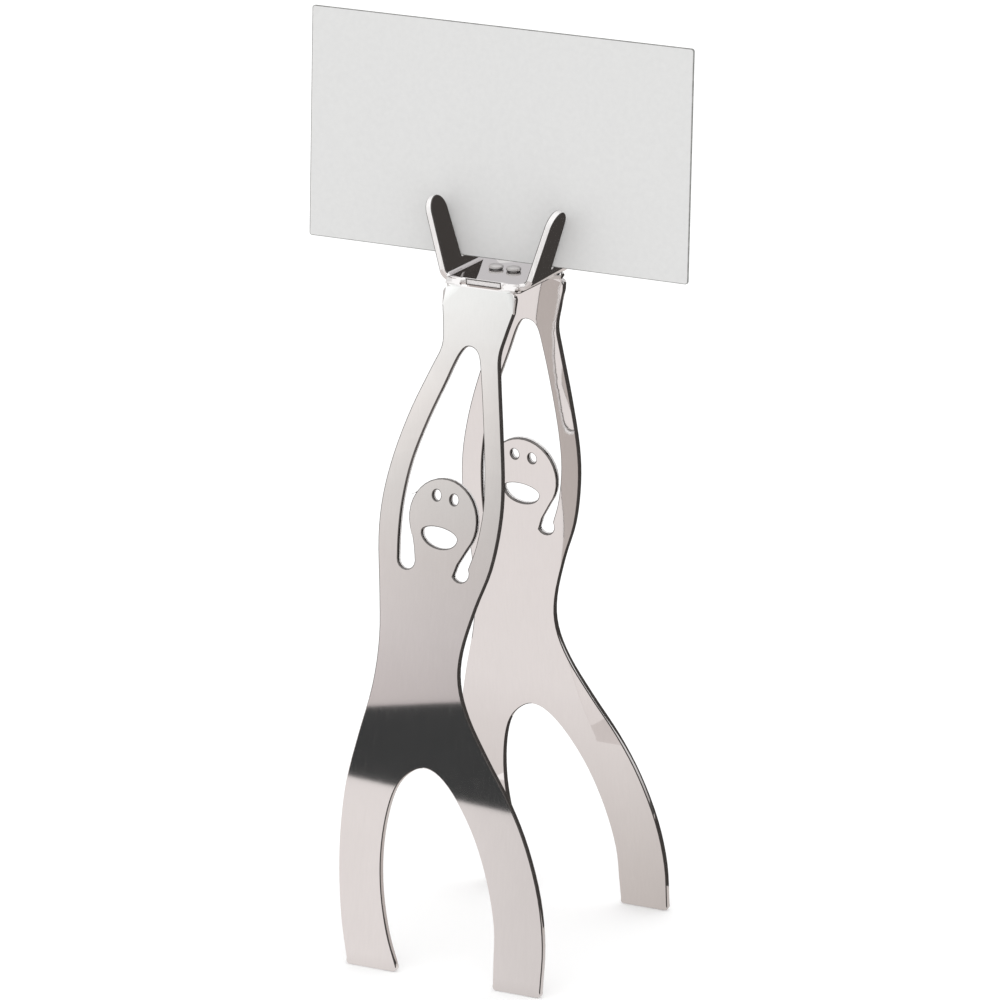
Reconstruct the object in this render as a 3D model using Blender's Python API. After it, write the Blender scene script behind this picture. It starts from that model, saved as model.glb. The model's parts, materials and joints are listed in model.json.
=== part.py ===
"""Buffet card holder: two dancing sheet-steel figures lean together under a forked top plate.

The front figure is one pressing. Its hands fold back into a flat plate, and the plate's sides fold
up into two forked uprights. The rear figure is the mirrored pressing, whose short flange lies under
the plate and is held there by two rivets. A card stands in the slits of the forks.

Metres, +Z up. The origin is on the table, below the middle of the card.
"""

import math

import bmesh
import bpy

# Sheet and fits
SHEET = 0.0015
REST_GAP = 0.0003
INNER_BEND = 0.0005
FORK_BEND_RADIUS = 0.0015

# Stance, over the outer faces of the two figures, whose arms bow inwards on their way up
HAND_TOP = 0.14775
FOOT_SPREAD = 0.0631
TOP_DEPTH = 0.0232
ARM_BOW = 0.0017
ARM_LENGTH = 0.0430
FIGURE_X = 0.0029

# Hands, and the strip that joins them to the plate
HAND_SHIFT = -0.0010
HAND_WIDTH = 0.0170
HAND_RISE = 0.00435
HAND_CORNER_DROP = 0.0012
STRIP_WIDTH = 0.0164
STRIP_NOTCH = 0.0005
BEND_SLOT_LENGTH = 0.0105
BEND_SLOT_WIDTH = 0.0021
PLATE_PAST_FORK = 0.0021
PLATE_CORNER = 0.0010

# Forked uprights
FORK_MARGIN = 0.0008
FORK_HEIGHT = 0.0156
FORK_LEAN = math.radians(17.5)
FORK_TAPER = 0.0010
FORK_FILLET = 0.0006
SLIT_FLOOR = 0.0018
SLIT_PLAY = 0.00085
SLIT_FLARE = 0.00030

# Rivets
RIVET_SHANK = 0.0020
RIVET_RIM = 0.0006
RIVET_SPACING = 0.0010
HEAD_CROWN = 0.0008
TAIL_CROWN = 0.0008
FLANGE_PAST_RIVET = 0.0045
FLANGE_INSET = 0.0018

# Card
CARD_WIDTH = 0.0900
CARD_HEIGHT = 0.0500
CARD_THICKNESS = 0.0005
CARD_CORNER = 0.0006

# Head and the face cut through it
HEAD_CENTRE = (-0.0057, 0.0987)
HEAD_WIDTH = 0.0162
HEAD_HEIGHT = 0.0174
HEAD_TILT = math.radians(-6.5)
FACE_SHIFT = -0.0002
EYE_WIDTH = 0.0020
EYE_HEIGHT = 0.0024
EYE_PITCH = 0.0042
EYE_RISE = 0.0047
MOUTH_WIDTH = 0.0085
MOUTH_DROP = 0.0036
UPPER_LIP = 0.0017
LOWER_LIP = 0.0028

# The rear figure's left leg stands further in than the front one's, from the hip down to the foot.
REAR_STEP = 0.0021
REAR_STEP_TOP = 0.0600
REAR_STEP_RIGHT = -0.0030
REAR_STEP_FADE = 0.0080

# Drawing of the figure: across from its middle line, and up from the table.
# The inner edges of the arms are given from the sides of the head.
FOOT_CORNER = 0.0012
FOOT_ALLOWANCE = 0.0003
LEFT_EDGE = (
    (-0.0228, 0.0012),
    (-0.0246, 0.0095),
    (-0.0258, 0.0200),
    (-0.0260, 0.0300),
    (-0.0252, 0.0400),
    (-0.0230, 0.0500),
    (-0.0203, 0.0610),
    (-0.0193, 0.0715),
    (-0.0199, 0.0820),
    (-0.0208, 0.0930),
    (-0.0203, 0.1020),
    (-0.0182, 0.1115),
    (-0.0148, 0.1214),
    (-0.0108, 0.1304),
    (-0.0088, 0.1350),
    (-0.0088, 0.1390),
    (-0.0094, 0.1434),
)
RIGHT_EDGE = (
    (0.0239, 0.0012),
    (0.0239, 0.0110),
    (0.0222, 0.0210),
    (0.0186, 0.0313),
    (0.0139, 0.0402),
    (0.0078, 0.0490),
    (0.0028, 0.0570),
    (0.0003, 0.0640),
    (0.0004, 0.0710),
    (0.0030, 0.0805),
    (0.0061, 0.0892),
    (0.0077, 0.0985),
    (0.0079, 0.1070),
    (0.0068, 0.1180),
    (0.0054, 0.1289),
    (0.0049, 0.1343),
    (0.0059, 0.1387),
    (0.0073, 0.1434),
)
LEG_ARCH = (
    (-0.0108, 0.0012),
    (-0.0134, 0.0080),
    (-0.0153, 0.0165),
    (-0.0159, 0.0250),
    (-0.0152, 0.0330),
    (-0.0135, 0.0393),
    (-0.0108, 0.0430),
    (-0.0070, 0.0449),
    (-0.0030, 0.0436),
    (0.0015, 0.0390),
    (0.0062, 0.0315),
    (0.0098, 0.0226),
    (0.0120, 0.0135),
    (0.0124, 0.0060),
    (0.0126, 0.0012),
)
RIGHT_ARM_INSIDE = (
    (-0.0015, 0.0888),
    (0.0002, 0.0942),
    (0.0013, 0.1020),
    (0.0011, 0.1100),
    (0.0001, 0.1195),
)
WRIST_ARCH = (
    (0.0012, 0.1289),
    (0.0000, 0.1344),
    (-0.0025, 0.1357),
    (-0.0046, 0.1336),
    (-0.0073, 0.1273),
)
LEFT_ARM_INSIDE = (
    (0.0031, 0.1193),
    (0.0000, 0.1105),
    (-0.0017, 0.1020),
    (-0.0022, 0.0950),
    (-0.0021, 0.0890),
)
LEFT_NECK = ((-0.0118, 0.0890), (-0.0122, 0.0920))
RIGHT_NECK = ((-0.0017, 0.0894), (-0.0026, 0.0868))
HEAD_ARC = (208, -40)

# Smoothness
CURVE_STEPS = 4
ARC_STEPS = 8
ROUND_STEPS = 24
BEND_STEPS = 8
SHARP_ANGLE = math.radians(35)
MERGE_DISTANCE = 1e-6
CUT_TOLERANCE = 1e-7

# Sizes that follow from those above
BEND_RADIUS = SHEET + INNER_BEND
SLOPE = ((FOOT_SPREAD - TOP_DEPTH) / 2 - ARM_BOW) / HAND_TOP
STRETCH = (HAND_TOP - HAND_RISE) / RIGHT_EDGE[-1][1]
FORK_ANGLE = math.pi / 2 - FORK_LEAN
FORK_BEND_LENGTH = FORK_BEND_RADIUS * FORK_ANGLE
FORK_BEND_RISE = FORK_BEND_RADIUS * (1 - math.cos(FORK_ANGLE))
SLIT_WIDTH = CARD_THICKNESS + SLIT_PLAY
SLIT_MOUTH = SLIT_WIDTH + SLIT_FLARE
RIVET_HOLE = RIVET_SHANK + 2 * REST_GAP
RIVET_HEAD = RIVET_SHANK + 2 * RIVET_RIM
RIVET_PITCH = RIVET_HEAD + RIVET_SPACING
ROOT_FILLET = min(FORK_FILLET, FORK_MARGIN)
END_CORNER = min(PLATE_CORNER, PLATE_PAST_FORK - ROOT_FILLET)


class Fold:
    """Where one pressing bends. Its flat drawing runs up the figure, round the bend and along the top."""

    def __init__(self, bend_start):
        start_y, self.tilt = face_at(bend_start)
        self.bend_start = bend_start
        self.bend_end = bend_start + BEND_RADIUS * (math.pi / 2 - self.tilt)
        self.flat_start = start_y + BEND_RADIUS * math.cos(self.tilt)
        self.top = bend_start + BEND_RADIUS * (1 - math.sin(self.tilt))

    def on_top(self, y):
        """How far along the flat drawing a place on the horizontal top lies."""
        return self.bend_end + y - self.flat_start

    def place(self, across, along, depth):
        """Where a point of the flat sheet comes to, depth being measured in from the outer face."""
        x = FIGURE_X + across
        if along <= self.bend_start:
            y, tilt = face_at(along)
            return (x, y + depth * math.cos(tilt), along - depth * math.sin(tilt))
        if along < self.bend_end:
            turn = self.tilt + (along - self.bend_start) / BEND_RADIUS
            reach = BEND_RADIUS - depth
            y = self.flat_start - reach * math.cos(turn)
            return (x, y, self.top - BEND_RADIUS + reach * math.sin(turn))
        y = self.flat_start + along - self.bend_end
        side = across - HAND_SHIFT
        out = abs(side) - STRIP_WIDTH / 2
        if out <= 0:
            return (x, y, self.top - depth)
        turn = min(out / FORK_BEND_RADIUS, FORK_ANGLE)
        straight = max(out - FORK_BEND_LENGTH, 0)
        reach = FORK_BEND_RADIUS + depth
        out = STRIP_WIDTH / 2 + reach * math.sin(turn) + straight * math.cos(FORK_ANGLE)
        rise = FORK_BEND_RADIUS - reach * math.cos(turn) + straight * math.sin(FORK_ANGLE)
        return (FIGURE_X + HAND_SHIFT + math.copysign(out, side), y, self.top + rise)


def face_at(height):
    """The place and the lean of the front figure's outer face at a height."""
    bow = max(height - HAND_TOP + ARM_LENGTH, 0) / ARM_LENGTH
    y = SLOPE * height + ARM_BOW * bow ** 2 - FOOT_SPREAD / 2
    return y, math.atan(SLOPE + 2 * ARM_BOW * bow / ARM_LENGTH)


FRONT = Fold(HAND_TOP)
REAR = Fold(HAND_TOP - SHEET - REST_GAP)
FORK_DEPTH = -2 * (FRONT.flat_start + FORK_MARGIN)
TIP_RADIUS = (FORK_DEPTH / 2 - FORK_TAPER - SLIT_MOUTH / 2) / 2


def clear_scene():
    for old in list(bpy.data.objects):
        bpy.data.objects.remove(old, do_unlink=True)


def make_material(name, colour, roughness, metallic):
    material = bpy.data.materials.new(name)
    material.use_nodes = True
    shader = material.node_tree.nodes["Principled BSDF"]
    shader.inputs["Base Color"].default_value = (*colour, 1)
    shader.inputs["Roughness"].default_value = roughness
    shader.inputs["Metallic"].default_value = metallic
    return material


def make_object(name, shape, material):
    bmesh.ops.recalc_face_normals(shape, faces=shape.faces)
    mesh = bpy.data.meshes.new(name)
    shape.to_mesh(mesh)
    shape.free()
    mesh.materials.append(material)
    mesh.shade_smooth()
    mesh.set_sharp_from_angle(angle=SHARP_ANGLE)
    made = bpy.data.objects.new(name, mesh)
    bpy.context.scene.collection.objects.link(made)
    return made


def curve_through(points):
    """Points along a smooth open curve that passes through the given ones."""
    first = tuple(2 * p - q for p, q in zip(points[0], points[1]))
    last = tuple(2 * p - q for p, q in zip(points[-1], points[-2]))
    knots = [first, *points, last]
    path = []
    for spans in zip(knots, knots[1:], knots[2:], knots[3:]):
        for step in range(CURVE_STEPS):
            t = step / CURVE_STEPS
            path.append(tuple(spline(t, *values) for values in zip(*spans)))
    path.append(points[-1])
    return path


def spline(t, before, start, end, after):
    """One coordinate of a Catmull-Rom span between start and end."""
    bow = 2 * before - 5 * start + 4 * end - after
    twist = 3 * (start - end) + after - before
    return start + 0.5 * t * (end - before + t * (bow + t * twist))


def arc(centre, wide, high, start, end, steps=ARC_STEPS):
    """Points along an arc of an ellipse, from one angle to another in degrees."""
    path = []
    for step in range(steps + 1):
        angle = math.radians(start + (end - start) * step / steps)
        path.append((centre[0] + wide * math.cos(angle), centre[1] + high * math.sin(angle)))
    return path


def round_arc(centre, radius, start, end, steps=ARC_STEPS):
    return arc(centre, radius, radius, start, end, steps)


def circle(centre, size):
    return round_arc(centre, size / 2, 0, 360, ROUND_STEPS)[:-1]


def both_hands(path):
    """The left and the right copy of a path that starts at the right hand, about the hands' middle."""
    left = [(HAND_SHIFT - x, along) for x, along in path]
    right = [(HAND_SHIFT + x, along) for x, along in path]
    return left + right[::-1]


def stretched(path):
    """A part of the figure's drawing at the height that the figure has."""
    return [(x, height * STRETCH) for x, height in path]


def foot(start, end):
    """The rounded bottom of a foot, drawn from right to left and cut level with the table later."""
    low = FOOT_CORNER - FOOT_ALLOWANCE
    right = round_arc((start - FOOT_CORNER, low), FOOT_CORNER, 0, -90)
    left = round_arc((end + FOOT_CORNER, low), FOOT_CORNER, -90, -180)
    return right + left


def slot_end(start, end):
    """The round bottom of a slot, between the lower ends of its two sides."""
    middle = ((start[0] + end[0]) / 2, (start[1] + end[1]) / 2)
    angle = math.degrees(math.atan2(start[1] - middle[1], start[0] - middle[0])) % 360
    return round_arc(middle, math.dist(start, end) / 2, angle, angle + 180)[1:-1]


def arm_opening():
    """The space inside the raised arms, which goes round the head to a slot on each side of its neck."""
    right = [(HEAD_CENTRE[0] + HEAD_WIDTH / 2 + x, height) for x, height in RIGHT_ARM_INSIDE]
    left = [(HEAD_CENTRE[0] - HEAD_WIDTH / 2 + x, height) for x, height in LEFT_ARM_INSIDE]
    path = curve_through([*right, *WRIST_ARCH, *left])
    path += slot_end(left[-1], LEFT_NECK[0])
    path += LEFT_NECK
    path += arc(HEAD_CENTRE, HEAD_WIDTH / 2, HEAD_HEIGHT / 2, *HEAD_ARC, 3 * ARC_STEPS)
    path += RIGHT_NECK
    path += slot_end(RIGHT_NECK[-1], right[0])
    return stretched(path)


def face_point(across, up):
    """A place on the leaning head, from its middle."""
    across += FACE_SHIFT
    x = HEAD_CENTRE[0] + across * math.cos(HEAD_TILT) - up * math.sin(HEAD_TILT)
    height = HEAD_CENTRE[1] + across * math.sin(HEAD_TILT) + up * math.cos(HEAD_TILT)
    return (x, height)


def mouth():
    """An open smile, with a deeper lower lip, between its two corners."""
    corners = (0, -MOUTH_DROP)
    lower = arc(corners, MOUTH_WIDTH / 2, LOWER_LIP, 180, 360, 2 * ARC_STEPS)
    upper = arc(corners, MOUTH_WIDTH / 2, UPPER_LIP, 0, 180, 2 * ARC_STEPS)[1:-1]
    return stretched(face_point(*point) for point in lower + upper)


def eye(side):
    (place,) = stretched([face_point(side * EYE_PITCH / 2, EYE_RISE)])
    return arc(place, EYE_WIDTH / 2, EYE_HEIGHT / 2, 0, 360, ROUND_STEPS)[:-1]


def bend_slot(fold):
    """The long slot that eases the bend."""
    middle = (fold.bend_start + fold.bend_end) / 2
    reach = (BEND_SLOT_LENGTH - BEND_SLOT_WIDTH) / 2
    right = round_arc((HAND_SHIFT + reach, middle), BEND_SLOT_WIDTH / 2, -90, 90)
    left = round_arc((HAND_SHIFT - reach, middle), BEND_SLOT_WIDTH / 2, 90, 270)
    return right + left


def hand_side(fold):
    """The right edge from the hand's corner, past a small relief notch, to the end of the bend."""
    edge = STRIP_WIDTH / 2
    corner = (HAND_WIDTH / 2, fold.bend_start - HAND_CORNER_DROP)
    notch = round_arc((edge, fold.bend_start), STRIP_NOTCH, 270, 90)
    return [corner, *notch, (edge, fold.bend_end)]


def fork_side(fold):
    """The right forked upright laid flat, from its front root to its rear one."""
    edge = STRIP_WIDTH / 2
    tip = FORK_BEND_LENGTH + (FORK_HEIGHT - FORK_BEND_RISE) / math.sin(FORK_ANGLE)
    floor = FORK_BEND_LENGTH + (SLIT_FLOOR - FORK_BEND_RISE) / math.sin(FORK_ANGLE)
    slit_end = (edge + floor + SLIT_WIDTH / 2, 0)
    tip_centre = (edge + tip - TIP_RADIUS, SLIT_MOUTH / 2 + TIP_RADIUS)
    fillet = (edge + ROOT_FILLET, FORK_DEPTH / 2 + ROOT_FILLET)
    rear = round_arc(slit_end, SLIT_WIDTH / 2, 180, 90)
    rear += round_arc(tip_centre, TIP_RADIUS, -90, 90, 2 * ARC_STEPS)
    rear += round_arc(fillet, ROOT_FILLET, 270, 180)
    front = [(x, -y) for x, y in rear[:0:-1]]
    return [(x, fold.on_top(y)) for x, y in front + rear]


def far_corner(edge, end):
    """The rounded right corner where the plate or the flange ends."""
    return round_arc((edge - END_CORNER, end - END_CORNER), END_CORNER, 0, 90)


def flange_side(fold):
    """The flange's right edge, drawn in past the bend so that it stays under the plate."""
    edge = STRIP_WIDTH / 2 - FLANGE_INSET
    end = fold.on_top(RIVET_HOLE / 2 + FLANGE_PAST_RIVET)
    return [(edge, fold.bend_end + FLANGE_INSET), *far_corner(edge, end)]


def eased(share):
    """A share kept between none and all, with a soft start and end."""
    share = min(max(share, 0), 1)
    return share * share * (3 - 2 * share)


def step_in(path, step):
    """Move the left leg's part of a path sideways, fully at the foot and less towards the hip."""
    moved = []
    for x, height in path:
        down = eased((REAR_STEP_TOP - height) / REAR_STEP_TOP)
        outward = eased((REAR_STEP_RIGHT - x) / REAR_STEP_FADE)
        moved.append((x + step * down * outward, height))
    return moved


def figure_loops(fold, top_side, step=0):
    """The outline and the holes of one pressing laid flat, given its right edge beyond the bend."""
    left, right, legs = (curve_through(stretched(part)) for part in (LEFT_EDGE, RIGHT_EDGE, LEG_ARCH))
    left, legs = step_in(left, step), step_in(legs, step)
    outline = left + both_hands(hand_side(fold) + top_side) + right[::-1]
    outline += foot(right[0][0], legs[-1][0]) + legs[::-1] + foot(legs[0][0], left[0][0])
    holes = [arm_opening(), mouth(), bend_slot(fold)]
    for side in (-1, 1):
        holes.append(eye(side))
        holes.append(circle((HAND_SHIFT + side * RIVET_PITCH / 2, fold.on_top(0)), RIVET_HOLE))
    return [outline, *holes]


def fill_flat(loops):
    """One flat face with holes, as triangles."""
    shape = bmesh.new()
    for loop in loops:
        ring = [shape.verts.new((*point, 0)) for point in loop]
        for start, end in zip(ring, ring[1:] + ring[:1]):
            shape.edges.new((start, end))
    bmesh.ops.remove_doubles(shape, verts=shape.verts, dist=MERGE_DISTANCE)
    bmesh.ops.triangle_fill(shape, use_beauty=True, edges=shape.edges, normal=(0, 0, 1))
    return shape


def cut_across(shape, place, direction, beyond=0):
    """Cut the flat faces that lie beyond a place along the sheet, so that they can bend there."""
    faces = [face for face in shape.faces if face.calc_center_median().y > beyond]
    edges = {edge for face in faces for edge in face.edges}
    verts = {vert for face in faces for vert in face.verts}
    geometry = [*verts, *edges, *faces]
    bmesh.ops.bisect_plane(
        shape, geom=geometry, dist=CUT_TOLERANCE, plane_co=place, plane_no=direction)


def pressing(name, fold, loops, turn_round, material):
    """Fill the flat drawing, give it its thickness and bend it into its place."""
    shape = fill_flat(loops)
    arm_start = HAND_TOP - ARM_LENGTH
    for step in range(BEND_STEPS + 1):
        share = step / BEND_STEPS
        for start, end in ((arm_start, fold.bend_start), (fold.bend_start, fold.bend_end)):
            cut_across(shape, (0, start + share * (end - start), 0), (0, 1, 0))
        for side in (-1, 1):
            root = HAND_SHIFT + side * (STRIP_WIDTH / 2 + share * FORK_BEND_LENGTH)
            cut_across(shape, (root, 0, 0), (1, 0, 0), fold.bend_end)
    bmesh.ops.triangulate(shape, faces=shape.faces)
    inner = bmesh.ops.extrude_face_region(shape, geom=shape.faces[:], use_keep_orig=True)
    for item in inner["geom"]:
        if isinstance(item, bmesh.types.BMVert):
            item.co.z = SHEET
    for vert in shape.verts:
        x, y, z = fold.place(*vert.co)
        vert.co = (x, -y if turn_round else y, z)
    whole = [*shape.verts, *shape.edges, *shape.faces]
    level = bmesh.ops.bisect_plane(
        shape, geom=whole, dist=CUT_TOLERANCE, plane_co=(0, 0, 0), plane_no=(0, 0, 1), clear_inner=True)
    rims = [item for item in level["geom_cut"] if isinstance(item, bmesh.types.BMEdge)]
    bmesh.ops.edgeloop_fill(shape, edges=rims)
    return make_object(name, shape, material)


def front_figure(material):
    plate_end = FRONT.on_top(FORK_DEPTH / 2 + PLATE_PAST_FORK)
    top_side = fork_side(FRONT) + far_corner(STRIP_WIDTH / 2, plate_end)
    return pressing("front_figure", FRONT, figure_loops(FRONT, top_side), False, material)


def rear_figure(material):
    loops = figure_loops(REAR, flange_side(REAR), REAR_STEP)
    return pressing("rear_figure", REAR, loops, True, material)


def rivet(name, side, material):
    """A low domed head on the plate, a shank through both sheets, and a flattened tail below."""
    head_base = FRONT.top + REST_GAP
    tail_top = REAR.top - SHEET - REST_GAP
    crown = arc((0, head_base), RIVET_HEAD / 2, HEAD_CROWN, 90, 0)
    tail = arc((0, tail_top), RIVET_HEAD / 2, TAIL_CROWN, 0, -90)
    shank = [(RIVET_SHANK / 2, head_base), (RIVET_SHANK / 2, tail_top)]
    shape = bmesh.new()
    profile = [shape.verts.new((radius, 0, height)) for radius, height in crown + shank + tail]
    for start, end in zip(profile, profile[1:]):
        shape.edges.new((start, end))
    bmesh.ops.spin(
        shape, geom=[*shape.verts, *shape.edges], axis=(0, 0, 1), cent=(0, 0, 0),
        angle=math.tau, steps=ROUND_STEPS, use_merge=True)
    bmesh.ops.remove_doubles(shape, verts=shape.verts, dist=MERGE_DISTANCE)
    made = make_object(name, shape, material)
    made.location.x = FIGURE_X + HAND_SHIFT + side * RIVET_PITCH / 2
    return made


def card(material):
    """The card leans back in the slits, from the front of their floor to the back of their mouth."""
    slit_top = FORK_HEIGHT - TIP_RADIUS * math.sin(FORK_ANGLE)
    play = (SLIT_WIDTH + SLIT_MOUTH) / 2 - CARD_THICKNESS - 2 * REST_GAP
    lean = math.atan(play / (slit_top - SLIT_FLOOR))
    wide = CARD_WIDTH / 2 - CARD_CORNER
    corners = ((wide, CARD_CORNER, -90), (wide, CARD_HEIGHT - CARD_CORNER, 0),
               (-wide, CARD_HEIGHT - CARD_CORNER, 90), (-wide, CARD_CORNER, 180))
    shape = bmesh.new()
    rim = []
    for x, z, angle in corners:
        for point in round_arc((x, z), CARD_CORNER, angle, angle + 90, ARC_STEPS // 2):
            rim.append(shape.verts.new((point[0], -CARD_THICKNESS / 2, point[1])))
    face = shape.faces.new(rim)
    back = bmesh.ops.extrude_face_region(shape, geom=[face], use_keep_orig=True)
    for item in back["geom"]:
        if isinstance(item, bmesh.types.BMVert):
            item.co.y = CARD_THICKNESS / 2
    made = make_object("card", shape, material)
    made.location.y = REST_GAP + CARD_THICKNESS / 2 - SLIT_WIDTH / 2
    made.location.z = FRONT.top + SLIT_FLOOR + REST_GAP
    made.rotation_euler.x = -lean
    return made


def main():
    clear_scene()
    steel = (0.78, 0.76, 0.75)
    front_figure(make_material("front_steel", steel, roughness=0.10, metallic=1))
    rear_figure(make_material("rear_steel", steel, roughness=0.10, metallic=1))
    rivet("left_rivet", -1, make_material("left_rivet_steel", steel, roughness=0.16, metallic=1))
    rivet("right_rivet", 1, make_material("right_rivet_steel", steel, roughness=0.16, metallic=1))
    card(make_material("card_stock", (0.80, 0.80, 0.78), roughness=0.55, metallic=0))


main()
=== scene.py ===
# %% [markdown]
# A buffet card holder in polished sheet steel. Two dancing figures lean together like the legs of
# an easel, their hands fold into a small plate, and forked uprights on the plate hold a blank card.
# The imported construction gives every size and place. This lesson gives each piece its finish, adds
# the small round edges that make sheet metal look real, and sets up a studio around it.

# %% Load the frame
import json
import math

import bpy
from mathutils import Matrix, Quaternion, Vector

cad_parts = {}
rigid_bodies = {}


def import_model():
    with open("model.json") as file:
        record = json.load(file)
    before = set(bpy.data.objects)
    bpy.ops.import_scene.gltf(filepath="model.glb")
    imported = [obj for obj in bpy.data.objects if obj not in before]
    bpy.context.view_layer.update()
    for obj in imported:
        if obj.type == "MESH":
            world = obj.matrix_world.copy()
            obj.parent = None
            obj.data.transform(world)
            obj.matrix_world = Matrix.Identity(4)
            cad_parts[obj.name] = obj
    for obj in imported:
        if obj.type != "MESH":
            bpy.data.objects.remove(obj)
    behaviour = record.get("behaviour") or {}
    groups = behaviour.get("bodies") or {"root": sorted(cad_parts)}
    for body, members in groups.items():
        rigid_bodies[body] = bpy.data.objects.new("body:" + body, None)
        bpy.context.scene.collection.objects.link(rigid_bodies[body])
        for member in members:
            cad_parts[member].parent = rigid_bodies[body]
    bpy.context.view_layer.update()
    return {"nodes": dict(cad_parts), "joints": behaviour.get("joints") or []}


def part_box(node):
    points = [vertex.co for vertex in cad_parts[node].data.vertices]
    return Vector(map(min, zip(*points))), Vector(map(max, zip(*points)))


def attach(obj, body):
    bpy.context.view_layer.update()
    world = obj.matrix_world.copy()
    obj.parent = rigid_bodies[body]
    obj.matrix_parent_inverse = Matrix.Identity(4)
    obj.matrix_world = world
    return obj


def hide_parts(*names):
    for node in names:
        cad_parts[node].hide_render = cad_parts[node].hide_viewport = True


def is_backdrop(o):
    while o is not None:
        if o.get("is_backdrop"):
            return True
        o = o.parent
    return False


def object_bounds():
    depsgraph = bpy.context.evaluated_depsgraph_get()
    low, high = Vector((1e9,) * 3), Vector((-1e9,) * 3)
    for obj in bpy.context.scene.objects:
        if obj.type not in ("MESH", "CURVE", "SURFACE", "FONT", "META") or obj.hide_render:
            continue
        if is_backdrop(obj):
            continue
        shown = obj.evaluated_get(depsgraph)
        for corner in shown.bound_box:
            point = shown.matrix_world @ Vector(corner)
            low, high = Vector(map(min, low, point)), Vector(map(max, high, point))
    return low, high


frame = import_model()

# %% [markdown]
# The camera comes first, because every later choice is judged through it. It stands well back,
# high and to the right, with a long lens, so parallel lines hardly converge. The track quaternion
# turns the line from the camera to its aim into a rotation, and a second one adds a small roll.

# %% Camera
CAMERA_PLACE = Vector((0.67114, -1.29774, 0.53409))
CAMERA_AIM = Vector((0.00120, -0.00068, 0.09860))
CAMERA_ROLL = math.radians(-0.11)
LENS_MM = 256.9
SENSOR_MM = 36
FARTHEST = 100

bpy.ops.object.select_all(action="DESELECT")
bpy.ops.object.camera_add(location=CAMERA_PLACE)
camera = bpy.context.object
camera.name = "photo_camera"
sight = CAMERA_AIM - CAMERA_PLACE
camera.rotation_mode = "QUATERNION"
camera.rotation_quaternion = Quaternion(sight.normalized(), CAMERA_ROLL) @ sight.to_track_quat("-Z", "Y")
camera.data.lens = LENS_MM
camera.data.sensor_width = SENSOR_MM
camera.data.clip_end = FARTHEST
bpy.context.scene.camera = camera
print("camera stands", round(sight.length, 3), "m away")

# %% [markdown]
# Every finish here is a small tree of shader nodes. Three helpers keep the cells short: one adds a
# node with its settings, one starts a material with an empty Principled shader, and one starts a
# node group with named sockets. A group is built once and used in several finishes.

# %% Helpers for node trees
def add_node(tree, kind, **settings):
    """Add a node to a tree and set its own properties."""
    node = tree.nodes.new(kind)
    for name, value in settings.items():
        setattr(node, name, value)
    return node


def start_material(name):
    """Start a material, and return it with its tree and its Principled shader."""
    material = bpy.data.materials.new(name)
    material.use_nodes = True
    return material, material.node_tree, material.node_tree.nodes["Principled BSDF"]


def start_group(name, inputs, outputs):
    """Start a node group with named sockets, and return its tree and its two end nodes."""
    tree = bpy.data.node_groups.new(name, "ShaderNodeTree")
    for socket, kind in inputs.items():
        tree.interface.new_socket(socket, in_out="INPUT", socket_type=kind)
    for socket, kind in outputs.items():
        tree.interface.new_socket(socket, in_out="OUTPUT", socket_type=kind)
    return tree, add_node(tree, "NodeGroupInput"), add_node(tree, "NodeGroupOutput")


def use_group(tree, group, **values):
    """Place a group in a tree with its own values."""
    node = add_node(tree, "ShaderNodeGroup", node_tree=group)
    for socket, value in values.items():
        node.inputs[socket].default_value = value
    return node


print("helpers ready")

# %% [markdown]
# Polishing leaves fine parallel lines. Noise that is stretched along one axis makes such lines:
# the mapping squeezes two axes much more than the third. The group takes the stretch as a vector,
# so the same lines can run up a sheet, across a cut edge or along a card. A Map Range node raises
# the contrast, so that the lines reach from nought to one.

# %% Group for fine lines
NOISE_MIDDLE = (0.3, 0.7)


def raise_contrast(tree, noise):
    """Stretch the middle of a noise until it reaches from nought to one."""
    spread = add_node(tree, "ShaderNodeMapRange")
    spread.inputs["From Min"].default_value, spread.inputs["From Max"].default_value = NOISE_MIDDLE
    tree.links.new(noise.outputs["Fac"], spread.inputs["Value"])
    return spread.outputs["Result"]


fine_lines, lines_in, lines_out = start_group(
    "fine_lines", {"Stretch": "NodeSocketVector"}, {"Lines": "NodeSocketFloat"})
place = add_node(fine_lines, "ShaderNodeTexCoord")
stretch = add_node(fine_lines, "ShaderNodeMapping")
noise = add_node(fine_lines, "ShaderNodeTexNoise")
noise.inputs["Scale"].default_value = 1.0
noise.inputs["Detail"].default_value = 3.0
fine_lines.links.new(place.outputs["Object"], stretch.inputs["Vector"])
fine_lines.links.new(lines_in.outputs["Stretch"], stretch.inputs["Scale"])
fine_lines.links.new(stretch.outputs["Vector"], noise.inputs["Vector"])
fine_lines.links.new(raise_contrast(fine_lines, noise), lines_out.inputs["Lines"])
print("group", fine_lines.name)

# %% [markdown]
# Nothing real is quite even: steel has handling marks and a slight wave from the rollers, and
# card has cloudy fibres. One group of soft cloudy noise serves all of them, with its contrast
# raised in the same way.

# %% Group for soft clouds
soft_clouds, clouds_in, clouds_out = start_group(
    "soft_clouds", {"Per Metre": "NodeSocketFloat"}, {"Clouds": "NodeSocketFloat"})
place = add_node(soft_clouds, "ShaderNodeTexCoord")
noise = add_node(soft_clouds, "ShaderNodeTexNoise")
noise.inputs["Detail"].default_value = 4.0
soft_clouds.links.new(place.outputs["Object"], noise.inputs["Vector"])
soft_clouds.links.new(clouds_in.outputs["Per Metre"], noise.inputs["Scale"])
soft_clouds.links.new(raise_contrast(soft_clouds, noise), clouds_out.inputs["Clouds"])
print("group", soft_clouds.name)

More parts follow.
